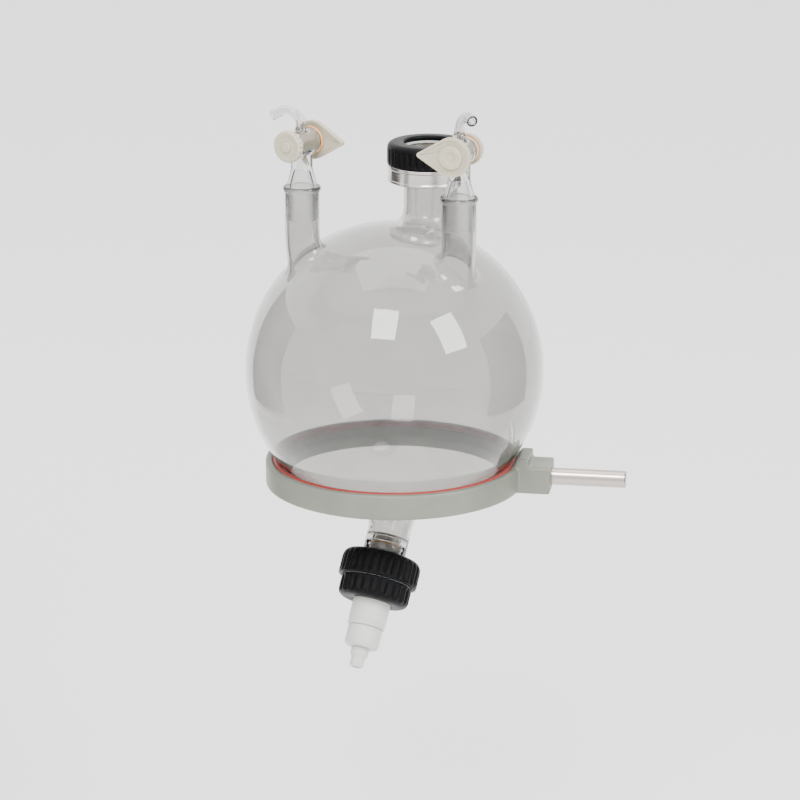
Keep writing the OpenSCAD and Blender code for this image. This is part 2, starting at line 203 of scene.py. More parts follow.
def make_edge_wear():
    """Where corners are rubbed: a mask from the surface's own convexity."""
    group, given, out = new_group("edge_wear", [("Strength", 1.0)], ["Mask"])
    shape = add(group, "ShaderNodeNewGeometry")
    ramp = add(group, "ShaderNodeMapRange", interpolation_type="SMOOTHSTEP")
    ramp.inputs["From Min"].default_value = 0.52
    ramp.inputs["From Max"].default_value = 0.62
    where = add(group, "ShaderNodeTexCoord")
    broken = add(group, "ShaderNodeTexNoise", Scale=160.0, Detail=4.0)
    link(group, where.outputs["Object"], broken.inputs["Vector"])
    link(group, shape.outputs["Pointiness"], ramp.inputs["Value"])
    worn = math_node(group, "MULTIPLY", ramp.outputs["Result"], broken.outputs["Fac"])
    link(group, math_node(group, "MULTIPLY", worn, given.outputs["Strength"]), out.inputs["Mask"])
    return group


grain = make_grain()
smudges = make_smudges()
edge_wear = make_edge_wear()
print("shared effects:", [group.name for group in (grain, smudges, edge_wear)])

# %% [markdown]
# One function joins the effects into a finish. It keeps the shader inside the material and lets
# the groups feed only what changes over the surface: colour, roughness and the bump.


# %% A finish built from the shared effects
def use_group(tree, group, **values):
    node = tree.nodes.new("ShaderNodeGroup")
    node.node_tree = group
    for key, value in values.items():
        node.inputs[key].default_value = value
    return node


def mix_colours(tree, mask, first, second):
    """Blends two colours by a mask. Each is a plain (r, g, b) or another node's output."""
    mix = tree.nodes.new("ShaderNodeMix")
    mix.data_type = "RGBA"
    link(tree, mask, mix.inputs["Factor"])
    for socket, colour in ((mix.inputs["A"], first), (mix.inputs["B"], second)):
        if isinstance(colour, tuple):
            socket.default_value = (*colour, 1)
        else:
            link(tree, colour, socket)
    return mix.outputs["Result"]


def new_finish(name):
    """A new material, with its node tree and its shader."""
    material = bpy.data.materials.new(name)
    material.use_nodes = True
    return material, material.node_tree, material.node_tree.nodes["Principled BSDF"]


ROUGH_SPREAD = 0.12   # how much duller a smudge is than the clean skin


def finish_of(name, base, mottle, roughness, grain_scale=900.0, bump=0.15, wear=None, **sockets):
    """A finish with mottled colour, uneven roughness, fine grain and optional edge wear.

    wear is its strength and the colour under the skin. What else is given goes to the shader."""
    material, tree, shader = new_finish(name)
    for key, value in sockets.items():
        shader.inputs[key.replace("_", " ")].default_value = value
    skin = use_group(tree, grain, Scale=grain_scale)
    marks = use_group(tree, smudges, Scale=18.0)
    colour = mix_colours(tree, skin.outputs["Mottle"], base, mottle)
    if wear:
        strength, under = wear
        rubbed = use_group(tree, edge_wear, Strength=strength)
        colour = mix_colours(tree, rubbed.outputs["Mask"], colour, under)
    link(tree, colour, shader.inputs["Base Color"])
    uneven = math_node(tree, "MULTIPLY", marks.outputs["Mask"], ROUGH_SPREAD)
    link(tree, math_node(tree, "ADD", uneven, roughness), shader.inputs["Roughness"])
    dents = add(tree, "ShaderNodeBump", Strength=bump, Distance=0.0003)
    link(tree, skin.outputs["Height"], dents.inputs["Height"])
    link(tree, dents.outputs["Normal"], shader.inputs["Normal"])
    return material


# %% [markdown]
# ## The opaque finishes
# Each finish is named for what the real piece is made of: enamelled cast iron, silicone, hard
# black moulding, turned or moulded PTFE, rubber and steel. The numbers are the base colour, the
# mottled colour, and how dull it is.

# %% Opaque finishes
ring_paint = finish_of("grey_green_enamel", (0.115, 0.125, 0.10), (0.16, 0.17, 0.135), 0.42,
                       grain_scale=420.0, bump=0.4, wear=(0.35, (0.34, 0.35, 0.31)),
                       Coat_Weight=0.15, Coat_Roughness=0.3)
silicone_red = finish_of("red_silicone", (0.24, 0.018, 0.014), (0.32, 0.035, 0.026), 0.48,
                         grain_scale=700.0, bump=0.2, Subsurface_Weight=0.08,
                         Subsurface_Scale=0.004)
moulded_black = finish_of("black_moulding", (0.0015, 0.0015, 0.002), (0.003, 0.003, 0.0035), 0.36,
                          grain_scale=1500.0, bump=0.15, wear=(0.2, (0.012, 0.012, 0.012)),
                          Specular_IOR_Level=0.08)
turned_ptfe = finish_of("turned_ptfe", (0.46, 0.46, 0.435), (0.54, 0.54, 0.51), 0.42,
                        grain_scale=600.0, bump=0.12, Subsurface_Weight=0.25,
                        Subsurface_Scale=0.004)
cream_ptfe = finish_of("cream_plug", (0.36, 0.33, 0.24), (0.43, 0.395, 0.30), 0.40,
                       grain_scale=700.0, bump=0.12, Subsurface_Weight=0.25,
                       Subsurface_Scale=0.004)
orange_silicone = finish_of("orange_silicone", (0.70, 0.28, 0.07), (0.78, 0.36, 0.12), 0.45,
                            grain_scale=900.0, bump=0.15, Subsurface_Weight=0.1,
                            Subsurface_Scale=0.002)
black_rubber = finish_of("black_rubber", (0.02, 0.02, 0.02), (0.03, 0.03, 0.03), 0.6, bump=0.2)
plain_steel = finish_of("plain_steel", (0.42, 0.41, 0.40), (0.50, 0.49, 0.47), 0.32,
                        grain_scale=1200.0, bump=0.1, Metallic=1.0)
print("opaque finishes:", [finish.name for finish in (
    ring_paint, silicone_red, moulded_black, turned_ptfe, cream_ptfe, orange_silicone,
    black_rubber, plain_steel)])

# %% [markdown]
# ## Steel with a direction
# Ground rod and turned collar shine in streaks. The streaks are noise that is stretched along one
# axis: along the rod's length for the rod, and round the axis for the collar, where the radius
# and the height take the place of X and Z so that the lines run as rings.


# %% Streaked steel
def streaked_steel(name, base, dark, stretch, centre=(0, 0, 0), roughness=0.2, rings=False):
    """Steel with fine lines. stretch is how many fit in a metre along each axis."""
    material, tree, shader = new_finish(name)
    shader.inputs["Metallic"].default_value = 1.0
    where = add(tree, "ShaderNodeTexCoord")
    move = add(tree, "ShaderNodeMapping")
    move.inputs["Location"].default_value = tuple(-c for c in centre)
    link(tree, where.outputs["Object"], move.inputs["Vector"])
    source = move.outputs["Vector"]
    if rings:
        parts = add(tree, "ShaderNodeSeparateXYZ")
        join = add(tree, "ShaderNodeCombineXYZ")
        link(tree, source, parts.inputs["Vector"])
        x, y = parts.outputs["X"], parts.outputs["Y"]
        squared = math_node(tree, "ADD", math_node(tree, "MULTIPLY", x, x),
                            math_node(tree, "MULTIPLY", y, y))
        link(tree, math_node(tree, "SQRT", squared, 0.0), join.inputs["X"])
        link(tree, parts.outputs["Z"], join.inputs["Z"])
        source = join.outputs["Vector"]
    squeeze = add(tree, "ShaderNodeVectorMath", operation="MULTIPLY")
    squeeze.inputs[1].default_value = stretch
    link(tree, source, squeeze.inputs[0])
    lines = add(tree, "ShaderNodeTexNoise", Scale=1.0, Detail=4.0, Roughness=0.6)
    link(tree, squeeze.outputs["Vector"], lines.inputs["Vector"])
    marks = use_group(tree, smudges, Scale=25.0)
    link(tree, mix_colours(tree, lines.outputs["Fac"], dark, base), shader.inputs["Base Color"])
    duller = math_node(tree, "MULTIPLY", marks.outputs["Mask"], 0.12)
    streaks = math_node(tree, "MULTIPLY", lines.outputs["Fac"], 0.16)
    total = math_node(tree, "ADD", math_node(tree, "ADD", streaks, duller), roughness - 0.08)
    link(tree, total, shader.inputs["Roughness"])
    ridges = add(tree, "ShaderNodeBump", Strength=0.12, Distance=0.0001)
    link(tree, lines.outputs["Fac"], ridges.inputs["Height"])
    link(tree, ridges.outputs["Normal"], shader.inputs["Normal"])
    return material


rod_steel = streaked_steel("ground_rod", (0.52, 0.47, 0.43), (0.34, 0.30, 0.27),
                           (18.0, 1600.0, 1600.0))
collar_steel = streaked_steel("polished_collar", (0.66, 0.64, 0.61), (0.44, 0.42, 0.40),
                              (2500.0, 1.0, 2500.0), centre=feed_foot, roughness=0.16, rings=True)

# %% [markdown]
# ## Glass
# Borosilicate glass is clear, with a faint grey cast of its own. The globe's glass is painted a darker
# grey than that: its colour is mostly painted shade, for the dimmer light seen through the globe.
# The globe is fire polished and smooth. Fine drips, dust and wiping show as a slightly duller
# skin, so the roughness varies a little over the surface. The ground joints are frosted, which is
# the same glass with a rough skin. Metallic and Transmission stay plain numbers.


# %% Glass finishes
BOROSILICATE_IOR = 1.474
GROUND_SCALE = 2500.0   # the grain that grinding leaves
SMUDGE_SHADE = 0.94     # how dark a smudge is beside clean glass


def glass_of(name, tint_and_shade, roughness, spread, bump=0.0):
    """Clear glass of one colour, which on the globe is mostly painted shade. A bump makes it ground glass."""
    material, tree, shader = new_finish(name)
    shader.inputs["Transmission Weight"].default_value = 1.0
    shader.inputs["IOR"].default_value = BOROSILICATE_IOR
    marks = use_group(tree, smudges, Scale=9.0, Cover=0.42)
    deeper = tuple(c * SMUDGE_SHADE for c in tint_and_shade)
    link(tree, mix_colours(tree, marks.outputs["Mask"], tint_and_shade, deeper), shader.inputs["Base Color"])
    dull = math_node(tree, "MULTIPLY", marks.outputs["Mask"], spread)
    link(tree, math_node(tree, "ADD", dull, roughness), shader.inputs["Roughness"])
    if bump:
        skin = use_group(tree, grain, Scale=GROUND_SCALE)
        wave = add(tree, "ShaderNodeBump", Strength=bump, Distance=0.0005)
        link(tree, skin.outputs["Height"], wave.inputs["Height"])
        link(tree, wave.outputs["Normal"], shader.inputs["Normal"])
    return material


# The globe's grey is painted shade: much darker than the glass's own faint cast and than the drawn glass.
globe_glass_painted_shade = glass_of("globe_glass_painted_shade", (0.60, 0.593, 0.578), 0.0, 0.02)
small_glass = glass_of("drawn_glass", (0.80, 0.80, 0.79), 0.01, 0.03)
frosted_glass = glass_of("ground_glass", (0.97, 0.97, 0.96), 0.26, 0.08, bump=0.12)
print("glass:", [finish.name for finish in (globe_glass_painted_shade, small_glass, frosted_glass)])


# %% [markdown]
# ## Turned pieces
# Most of the pieces came off a lathe, so they are made like that: an outline in the plane of
# radius and height is spun round the axis. `soften` breaks the sharp corners of the outline with
# small arcs, as a tool's nose does, and `flute` presses grip grooves into a finished turning.
# Outlines are written in millimetres. A side that takes grooves has a few extra points, because
# `flute` moves only what is there.


# %% Turning on a lathe
ON_AXIS = 1e-7     # a point nearer the axis than this lies on it
ARC_STEPS = 3


def soften(outline, radius):
    """Rounds the corners of a closed list of (radius, height) with small arcs."""
    points = [Vector(p) for p in outline]
    soft = []
    for i, corner in enumerate(points):
        before, after = points[i - 1], points[(i + 1) % len(points)]
        if corner.x < ON_AXIS:
            soft.append(corner)
            continue
        back = min(radius, (before - corner).length * 0.45)
        ahead = min(radius, (after - corner).length * 0.45)
        start = corner + (before - corner).normalized() * back
        stop = corner + (after - corner).normalized() * ahead
        for step in range(ARC_STEPS + 1):
            t = step / ARC_STEPS
            soft.append(start * (1 - t) ** 2 + corner * 2 * t * (1 - t) + stop * t ** 2)
    return soft


def turned(outline, corner=0.5, segments=96):
    """Spins a closed outline of (radius, height) round +Z. It and `corner` are in millimetres."""
    bm = bmesh.new()
    points = soften([(r * MM, z * MM) for r, z in outline], corner * MM)
    chain = [bm.verts.new((p.x, 0, p.y)) for p in points]
    edges = [bm.edges.new((a, b)) for a, b in zip(chain, chain[1:] + chain[:1])
             if a.co.x > ON_AXIS or b.co.x > ON_AXIS]
    bmesh.ops.spin(bm, geom=chain + edges, cent=(0, 0, 0), axis=(0, 0, 1), dvec=(0, 0, 0),
                   angle=2 * pi, steps=segments, use_merge=True, use_duplicate=False)
    bmesh.ops.remove_doubles(bm, verts=bm.verts, dist=1e-7)
    bmesh.ops.recalc_face_normals(bm, faces=bm.faces)
    return bm


def flute(bm, count, depth, inner, low, high, run_out=2 * MM, sharpness=2.0):
    """Presses `count` grooves into what lies outside the radius `inner` between two heights."""
    for v in bm.verts:
        r = sqrt(v.co.x ** 2 + v.co.y ** 2)
        if r < inner or not low <= v.co.z <= high:
            continue
        fade = min(1, (v.co.z - low) / run_out, (high - v.co.z) / run_out)
        wave = abs(cos(atan2(v.co.y, v.co.x) * count / 2)) ** sharpness
        v.co.xy *= 1 - depth * wave * max(0, fade) / r


def object_from(name, bm):
    """A new object in the scene from a bmesh, which is freed."""
    mesh = bpy.data.meshes.new(name)
    bm.to_mesh(mesh)
    bm.free()
    thing = bpy.data.objects.new(name, mesh)
    bpy.context.scene.collection.objects.link(thing)
    return thing


def make_piece(piece, material, body, node, crease):
    """Gives an object its finish, its body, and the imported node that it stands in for."""
    mesh = piece.data
    mesh.materials.append(material)
    mesh.shade_smooth()
    mesh.set_sharp_from_angle(angle=radians(crease))
    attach(piece, body)
    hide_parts(node)
    print(f"{piece.name}: {len(mesh.polygons)} faces on {body}")
    return piece


def finished(name, bm, matrix, material, body, node, crease=35):
    """Puts a bmesh in its place and makes it a piece of the object that rides on a body."""
    bm.transform(matrix)
    return make_piece(object_from(name, bm), material, body, node, crease)


# %% [markdown]
# ## The glass flask
# A glassblower makes the globe first, softens a spot, and draws each neck out of it, so that the
# wall flows from the globe into the neck. The same steps make it here: a fine ball, a flat cut
# across the spot, then the cut's rim is extruded ring by ring along a smooth curve up to the
# neck. The inside is a second skin made by the same function with smaller sizes. Because both
# skins have the same number of edges, their mouths are joined by a plain bridge.


# %% Drawing a neck out of the globe
SPOT_MARGIN = radians(6)   # how far past the cut its faces are gathered


def draw_neck(bm, crossing, way, opening, flare_rings, profile, ball_r):
    """Cuts the ball open round `crossing` and draws the rim out along `way`.

    opening is the half angle of the cut, and flare_rings how many rings the curve from the ball to
    the neck has. profile lists (radius, distance along the axis) from where that curve ends. The
    ball's centre is the origin, and distances start at `crossing`."""
    axis_point, out = crossing, crossing.normalized()
    side = way.cross(out)
    side = side.normalized() if side.length > 1e-4 else way.orthogonal().normalized()
    cut_up, neck_up = out.cross(side), way.cross(side)
    cut_height = ball_r * cos(opening)
    spot = [f for f in bm.faces if all(v.co.normalized().dot(out) > cos(opening + SPOT_MARGIN)
                                       and abs(v.co.length - ball_r) < 1e-5 for v in f.verts)]
    spot_edges = list({e for f in spot for e in f.edges})
    spot_verts = list({v for f in spot for v in f.verts})
    bmesh.ops.bisect_plane(bm, geom=spot_verts + spot_edges + spot, dist=1e-9,
                           plane_co=out * cut_height, plane_no=out, clear_outer=True)
    rim = [e for e in bm.edges if e.is_boundary
           and all(abs(v.co.dot(out) - cut_height) < 1e-6 for v in e.verts)]
    angle = {}
    for v in {v for e in rim for v in e.verts}:
        flat = v.co - out * cut_height
        angle[v] = atan2(flat.dot(cut_up), flat.dot(side))
        v.co = v.co.normalized() * ball_r if abs(v.co.length - ball_r) < 1e-4 else v.co
    first_r, first_s = profile[0]

    def neck_point(turn, r, s):
        return axis_point + way * s + (side * cos(turn) + neck_up * sin(turn)) * r

    def flare_point(turn, t):
        rim_dir = side * cos(turn) + cut_up * sin(turn)
        start = out * cut_height + rim_dir * ball_r * sin(opening)
        inward = out * sin(opening) - rim_dir * cos(opening)
        end = neck_point(turn, first_r, first_s)
        reach = (end - start).length
        a, b = start + inward * reach * 0.38, end - way * reach * 0.55
        return (start * (1 - t) ** 3 + a * 3 * t * (1 - t) ** 2 + b * 3 * t * t * (1 - t)
                + end * t ** 3)

    stations = [("flare", (i + 1) / flare_rings) for i in range(flare_rings)]
    stations += [("neck", p) for p in profile[1:]]
    for kind, value in stations:
        grown = bmesh.ops.extrude_edge_only(bm, edges=rim)["geom"]
        fresh = [g for g in grown if isinstance(g, bmesh.types.BMVert)]
        rim = [g for g in grown
               if isinstance(g, bmesh.types.BMEdge) and all(v in fresh for v in g.verts)]
        nearest = {tuple(round(c, 9) for c in v.co): turn for v, turn in angle.items()}
        angle = {v: nearest[tuple(round(c, 9) for c in v.co)] for v in fresh}
        for v, turn in angle.items():
            v.co = flare_point(turn, value) if kind == "flare" else neck_point(turn, *value)


# %% [markdown]
# Each neck is a list of rings. The outer skin ends in the neck's bead or flange, and the inner
# skin has the bore, the taper of a ground socket or the seat that the drain's closing tip meets.


# %% The two skins of the flask
FEED_R, ARM_R, DRAIN_R = 24 * MM, 16 * MM, 20.5 * MM
FEED_RIM = 192 * MM   # the feed neck's rim stands this far above the globe's centre
FEED_OPENING, ARM_OPENING, DRAIN_OPENING = radians(14.5), radians(11.5), radians(15)


def height_on_globe(offset):
    return sqrt(GLOBE_R ** 2 - offset ** 2)


feed_up = height_on_globe((feed_foot - globe).xy.length)
arm_up = height_on_globe((left_arm - globe).xy.length)


def flask_skin(inset):
    """The ball with its four necks, all walls moved inwards by `inset`."""
    ball_r = GLOBE_R - inset
    inner = inset > 0
    bm = bmesh.new()
    bmesh.ops.create_icosphere(bm, subdivisions=6, radius=ball_r)

    feed_axis = (feed_foot - globe) + UP * feed_up
    feed_top = FEED_RIM - feed_up
    feed_r = FEED_R - inset
    feed = [(feed_r, 22 * MM), (feed_r, 40 * MM), (feed_r, feed_top - 9 * MM)]
    if inner:
        feed += [(feed_r, feed_top - 1 * MM), (feed_r + 0.4 * MM, feed_top - 0.3 * MM),
                 (feed_r + 1 * MM, feed_top)]
    else:
        feed += [(feed_r + 1.5 * MM, feed_top - 7.6 * MM), (30 * MM, feed_top - 6 * MM),
                 (31 * MM, feed_top - 5 * MM), (31 * MM, feed_top - 1 * MM), (30 * MM, feed_top)]
    draw_neck(bm, feed_axis, UP, FEED_OPENING, 10, feed, ball_r)

    arm_top = ARM_RIM - arm_up
    arm_r = ARM_R - inset
    for arm in (left_arm, right_arm):
        axis = Vector((arm.x - globe.x, arm.y - globe.y, arm_up))
        tube = [(arm_r, 27 * MM), (arm_r, 34 * MM)]
        if inner:
            tube += [(13.0 * MM, arm_top - 32 * MM), (14.5 * MM, arm_top - 1 * MM),
                     (15.4 * MM, arm_top)]
        else:
            tube += [(arm_r, arm_top - 7 * MM), (arm_r + 0.6 * MM, arm_top - 5 * MM),
                     (arm_r + 1.5 * MM, arm_top - 3.4 * MM),
                     (arm_r + 1.5 * MM, arm_top - 1.4 * MM),
                     (arm_r + 0.7 * MM, arm_top - 0.3 * MM), (arm_r, arm_top)]
        draw_neck(bm, axis, UP, ARM_OPENING, 12, tube, ball_r)

    drain_r = DRAIN_R - inset
    if inner:
        drain = [(drain_r, 20 * MM), (drain_r, 26 * MM), (drain_r - 1.5 * MM, 28.2 * MM),
                 (12.5 * MM, 29 * MM), (12.5 * MM, 33 * MM), (drain_r - 1 * MM, 33.6 * MM),
                 (drain_r, 35 * MM), (drain_r, 56 * MM), (drain_r + 1 * MM, 57 * MM)]
    else:
        drain = [(drain_r, 25 * MM), (drain_r, 36 * MM), (drain_r, 48 * MM),
                 (drain_r + 2 * MM, 50.4 * MM), (26 * MM, 51 * MM), (27 * MM, 52 * MM),
                 (27 * MM, 56 * MM), (26 * MM, 57 * MM)]
    draw_neck(bm, -UP * GLOBE_R, drain_way, DRAIN_OPENING, 12, drain, ball_r)
    return bm


# %% [markdown]
# The two skins are put into one mesh. A face knows its outside by the order of its corners, so
# the inner skin is turned inside out before the four mouths are bridged.


# %% Joining the skins
def merge_into(target, extra):
    """Adds one bmesh to another, which is freed."""
    scratch = bpy.data.meshes.new("scratch")
    extra.to_mesh(scratch)
    extra.free()
    target.from_mesh(scratch)
    bpy.data.meshes.remove(scratch)


def blow_flask():
    outer, inner = flask_skin(0.0), flask_skin(WALL)
    for skin, flip in ((outer, False), (inner, True)):
        bmesh.ops.recalc_face_normals(skin, faces=skin.faces)
        far = max(skin.faces, key=lambda f: f.calc_center_median().x)
        if (far.normal.x < 0) != flip:
            bmesh.ops.reverse_faces(skin, faces=skin.faces)
    merge_into(outer, inner)
    tops = {"feed": feed_foot - globe, "left": left_arm - globe, "right": right_arm - globe}
    rims = {}
    for e in [e for e in outer.edges if e.is_boundary]:
        middle = (e.verts[0].co + e.verts[1].co) / 2
        nearest = min(tops, key=lambda mouth: (tops[mouth].xy - middle.xy).length)
        rims.setdefault("drain" if middle.z < 0 else nearest, []).append(e)
    for mouth, edges in rims.items():
        print("mouth", mouth, "has", len(edges), "rim edges")
        bmesh.ops.bridge_loops(outer, edges=edges)
    return outer


def frost_sockets(piece):
    """The sockets' ground insides take the frosted finish."""
    piece.data.materials.append(frosted_glass)
    for face in piece.data.polygons:
        centre = face.center
        for arm in (left_arm, right_arm):
            r = (centre.xy - arm.xy).length
            if r < 15 * MM and arm.z - 33 * MM < centre.z < arm.z - 0.5 * MM:
                face.material_index = 1


flask = finished("flask_glass", blow_flask(), ON_GLOBE, globe_glass_painted_shade, "flask", "glass_flask",
                 crease=60)
frost_sockets(flask)

# %% [markdown]
# ## Feed collar and nut
# The polished collar hangs under the neck's flange on a split liner. Its lower band is plain and
# bright, and its upper part is a screw thread for the black nut. The thread is a real helix: a
# tooth outline is spun and lifted at the same time, which is what `dvec` does.


# %% Screw threads
STEPS_PER_TURN = 72
ROOTED = 0.3 * MM      # how far the tooth's foot goes into the wall
FOOT_SHARE, TIP_SHARE = 0.36, 0.35   # half the foot in pitches, and the tip's width in feet


def helix(bm, root_r, tip_r, pitch, low, turns):
    """Adds a helical tooth to a bmesh: one spin with a lift at each step."""
    half = pitch * FOOT_SHARE
    corners = [(root_r - ROOTED, -half), (root_r, -half), (tip_r, -half * TIP_SHARE),
               (tip_r, half * TIP_SHARE), (root_r, half), (root_r - ROOTED, half)]
    ring = [bm.verts.new((r, 0, low + z)) for r, z in corners]
    tooth = bm.faces.new(ring)
    steps = int(STEPS_PER_TURN * turns)
    bmesh.ops.spin(bm, geom=[tooth], cent=(0, 0, 0), axis=(0, 0, 1), angle=2 * pi * turns,
                   dvec=(0, 0, pitch * turns / steps), steps=steps, use_merge=False,
                   use_duplicate=False)


def feed_collar():
    bm = turned((
        (31.5, 170), (38.9, 170), (39.5, 170.8), (39.5, 172.5), (38.9, 173.2), (38.9, 182.6),
        (39.5, 183.3), (39.5, 186), (35.7, 186.1), (35.7, 198), (34.2, 198), (34.2, 178),
        (31.5, 178)), corner=0.4, segments=128)
    helix(bm, 35.7 * MM, 36.5 * MM, 4 * MM, 188.6 * MM, 1.9)
    return bm


finished("feed_collar_steel", feed_collar(), ON_FEED, collar_steel, "flask", "feed_collar")


def feed_nut():
    bm = turned((
        (36.9, 186.3), (39.2, 186.3), (39.9, 187.2), (39.9, 188.6), (39.9, 190), (39.9, 192),
        (39.9, 196), (39.9, 200), (39.9, 201.4), (39.6, 203.4), (38.4, 205.6), (36.2, 206.9),
        (34, 207.3), (26, 207.3), (24.6, 206.8), (24, 205.6), (24, 202.8), (36.9, 202.8)),
        corner=0.7, segments=288)
    flute(bm, 36, 1.3 * MM, 37.4 * MM, 187.6 * MM, 203 * MM, run_out=2.4 * MM, sharpness=6)
    return bm


finished("feed_nut_black", feed_nut(), ON_FEED, moulded_black, "feed_nut", "feed_nut")

# %% [markdown]
# ## Stopcocks
# A stopcock body is glass blown round a barrel, so every joint between tubes is a soft fillet.
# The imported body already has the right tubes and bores. A copy of it is merged, remade from a
# fine grid of cubes and smoothed, which melts its corners together as the flame does.


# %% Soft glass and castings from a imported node
def melted(name, node, grid, rounds, material, body, crease=60):
    """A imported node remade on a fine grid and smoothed, so that its corners run together."""
    bm = bmesh.new()
    bm.from_mesh(nodes[node].data)
    bmesh.ops.remove_doubles(bm, verts=bm.verts, dist=1e-6)
    piece = object_from(name, bm)
    remesh = piece.modifiers.new("grid", "REMESH")
    remesh.mode = "VOXEL"
    remesh.voxel_size = grid
    shape = piece.evaluated_get(bpy.context.evaluated_depsgraph_get())
    bm = bmesh.new()
    bm.from_mesh(shape.to_mesh())
    shape.to_mesh_clear()
    piece.modifiers.clear()
    for _ in range(rounds):
        bmesh.ops.smooth_vert(bm, verts=bm.verts, factor=0.5,
                              use_axis_x=True, use_axis_y=True, use_axis_z=True)
    bm.to_mesh(piece.data)
    bm.free()
    piece.data.materials.clear()
    return make_piece(piece, material, body, node, crease)


def frost_cone(piece, arm):
    """The cone that sits in the socket is ground."""
    piece.data.materials.append(frosted_glass)
    for face in piece.data.polygons:
        r = (face.center.xy - arm.xy).length
        if face.center.z < arm.z + 1 * MM and r > 12 * MM:
            face.material_index = 1


for side, arm in (("left", left_arm), ("right", right_arm)):
    stopcock = melted(f"{side}_stopcock_glass", f"{side}_stopcock_body", 0.75 * MM, 4, small_glass,
                      f"{side}_stopcock")
    frost_cone(stopcock, arm)

# %% [markdown]
# ## Plugs
# The plug is moulded in one piece with its thumb plate. The plate is a round disc that runs out
# to a point, so that the hand feels where the bore is. It has a raised rim, a sunk field and a
# hub, and all its edges are rounded. The plate is made from a flat face with inset and extrude,
# then bevelled.


# %% The thumb plate and the plug
THUMB_R, TIP_R, REACH = 18 * MM, 2.5 * MM, 33 * MM
PLATE_START, PLATE_END = 16.3 * MM, 21.3 * MM
RIM_WIDTH, SLOPE_WIDTH, SINK = 2.2 * MM, 0.5 * MM, 0.9 * MM
DISC_STEPS, TIP_STEPS = 40, 6


def thumb_plate():
    """A pointed plate that lies in XY and points along -Y."""
    distance = REACH - TIP_R
    lean = acos((THUMB_R - TIP_R) / distance)
    outline = []
    for i in range(DISC_STEPS + 1):
        turn = lean + i * (2 * pi - 2 * lean) / DISC_STEPS
        outline.append(Vector((THUMB_R * cos(turn), THUMB_R * sin(turn), PLATE_START)))
    for i in range(TIP_STEPS + 1):
        turn = -lean + i * 2 * lean / TIP_STEPS
        outline.append(Vector((distance + TIP_R * cos(turn), TIP_R * sin(turn), PLATE_START)))
    bm = bmesh.new()
    face = bm.faces.new([bm.verts.new(p) for p in outline])
    raised = bmesh.ops.extrude_face_region(bm, geom=[face])["geom"]
    bmesh.ops.translate(bm, vec=(0, 0, PLATE_END - PLATE_START),
                        verts=[g for g in raised if isinstance(g, bmesh.types.BMVert)])
    bmesh.ops.recalc_face_normals(bm, faces=bm.faces)
    for upward in (1, -1):
        top = max(bm.faces, key=lambda f: f.calc_center_median().z * upward)
        for width, depth in ((RIM_WIDTH, 0.0), (SLOPE_WIDTH, -SINK)):
            bmesh.ops.inset_region(bm, faces=[top], thickness=width, depth=depth,
                                   use_even_offset=True)
    sharp = [e for e in bm.edges if e.calc_face_angle(0) > radians(40)]
    bmesh.ops.bevel(bm, geom=sharp, offset=0.5 * MM, affect="EDGES", segments=3, profile=0.5,
                    material=-1, clamp_overlap=True)
    bmesh.ops.rotate(bm, cent=(0, 0, 0), matrix=Matrix.Rotation(-pi / 2, 3, "Z"), verts=bm.verts)
    return bm


def plug_mesh():
    bm = turned((
        (0, -26), (4.4, -26), (5, -25.4), (5, -14), (7.94, -14), (8.94, 14), (8.94, 19), (0, 19)),
        corner=0.4, segments=64)
    hub = turned((
        (0, 18), (11, 18), (11, 22.6), (10.2, 23.3), (5.2, 23.3), (4.4, 22.5), (0, 22.5)),
        corner=0.5, segments=64)
    merge_into(bm, hub)
    merge_into(bm, thumb_plate())
    return bm


def o_ring(path_r, height, cord_r, segments=72, steps=14):
    """A round cord on a circle, by spinning a small circle."""
    bm = bmesh.new()
    upright = Matrix.Translation((path_r, 0, height)) @ Matrix.Rotation(pi / 2, 4, "X")
    ring = bmesh.ops.create_circle(bm, segments=steps, radius=cord_r, matrix=upright)
    bmesh.ops.spin(bm, geom=ring["verts"] + bm.edges[:], cent=(0, 0, 0), axis=(0, 0, 1),
                   dvec=(0, 0, 0), angle=2 * pi, steps=segments, use_merge=True,
                   use_duplicate=False)
    bmesh.ops.remove_doubles(bm, verts=bm.verts, dist=1e-7)
    bmesh.ops.recalc_face_normals(bm, faces=bm.faces)
    return bm


def retaining_nut():
    bm = turned((
        (5, -24.2), (6, -24.2), (6.6, -23.6), (10.5, -23.6), (11.2, -24.2), (13.4, -24.2),
        (14.9, -22.9), (14.9, -21), (14.9, -19.4), (14.4, -17.9), (13, -17.7), (5, -17.7)),
        corner=0.5, segments=160)
    flute(bm, 20, 1.0 * MM, 13.6 * MM, -24 * MM, -17.9 * MM, run_out=1.6 * MM, sharpness=5)
    return bm


for side in ("left", "right"):
    # The plug's frame has +Z out of the handle and -X up
    at = frame_on(place(f"{side}_plug_turn"), direction(f"{side}_plug_turn"), x_hint=-UP)
    on = f"{side}_plug"
    finished(f"{side}_plug_cream", plug_mesh(), at, cream_ptfe, on, f"{side}_plug")
    finished(f"{side}_handle_ring", o_ring(11.9 * MM, 15.3 * MM, 0.98 * MM), at, orange_silicone,
             on, f"{side}_plug_seal")
    finished(f"{side}_nut_ring", o_ring(11.4 * MM, -16.6 * MM, 1.05 * MM), at, orange_silicone,
             on, f"{side}_plug_o_ring")
    finished(f"{side}_nut_cream", retaining_nut(), at, cream_ptfe, on,
             f"{side}_retaining_nut")

# %% [markdown]
# ## Drain valve
# The union nut hooks behind the drain neck's flange and pulls the valve body onto its gasket. The
# handwheel under it drives the hollow white spindle, which ends in an adapter and a stepped
# nozzle. The black pieces are turned and fluted, and the white ones are turned with fine tool
# corners.


